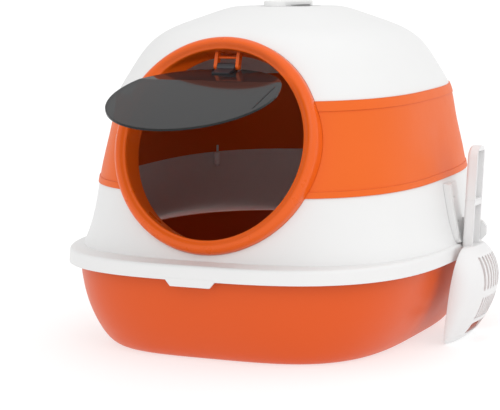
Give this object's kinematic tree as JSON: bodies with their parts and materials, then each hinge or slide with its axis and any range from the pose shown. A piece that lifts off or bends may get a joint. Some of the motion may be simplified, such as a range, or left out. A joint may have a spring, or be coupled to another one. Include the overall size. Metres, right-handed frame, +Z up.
{
  "type": "hooded cat litter box",
  "caption": "Round-cornered litter tub with a domed lift-off hood, round front door ring with a swinging smoked flap, top handle and a slotted scoop on its side.",
  "frame": {"origin": "centre of the tray's flat bottom, on the floor", "axes": "+Z up, the door faces -Y, the scoop hangs on +X"},
  "size_m": [0.4868, 0.6019, 0.403],
  "materials": {
    "orange_tub": "satin",
    "orange_band": "satin",
    "orange_ring": "satin gloss",
    "white_shell": "satin",
    "scoop_white": "satin",
    "smoked_flap": "polished smoked plastic sheet",
    "dark_clip": "smooth",
    "steel": "zinc plated"
  },
  "bodies": {
    "tray": {"litter_tray": "orange_tub"},
    "hood": {"hood_lower_shell": "white_shell", "hood_band": "orange_band", "hood_dome": "white_shell", "lower_seam_screws": "steel", "upper_seam_screws": "steel", "entry_ring": "orange_ring", "ring_retainer": "orange_ring", "ring_screws": "steel", "flap_hinge_pin": "orange_ring", "handle_recess": "white_shell", "carry_handle": "white_shell", "handle_screws": "steel", "scoop_holder": "white_shell", "holder_screws": "steel"},
    "flap": {"flap_panel": "smoked_flap", "flap_clip": "dark_clip", "flap_clip_rivets": "dark_clip"},
    "scoop": {"scoop_basket": "scoop_white", "scoop_handle": "scoop_white"}
  },
  "joints": [
    {"name": "hood_lift", "type": "slide", "parent": "tray", "child": "hood", "axis": [0, 0, 1], "range_m": [0, 0.3]},
    {"name": "flap_hinge", "type": "hinge", "parent": "hood", "child": "flap", "pos_m": [0, -0.16645, 0.33052], "axis": [-1, 0, 0], "range_deg": [-114, 22]},
    {"name": "scoop_pull", "type": "slide", "parent": "hood", "child": "scoop", "axis": [1, 0, 0], "range_m": [0, 0.12]}
  ]
}
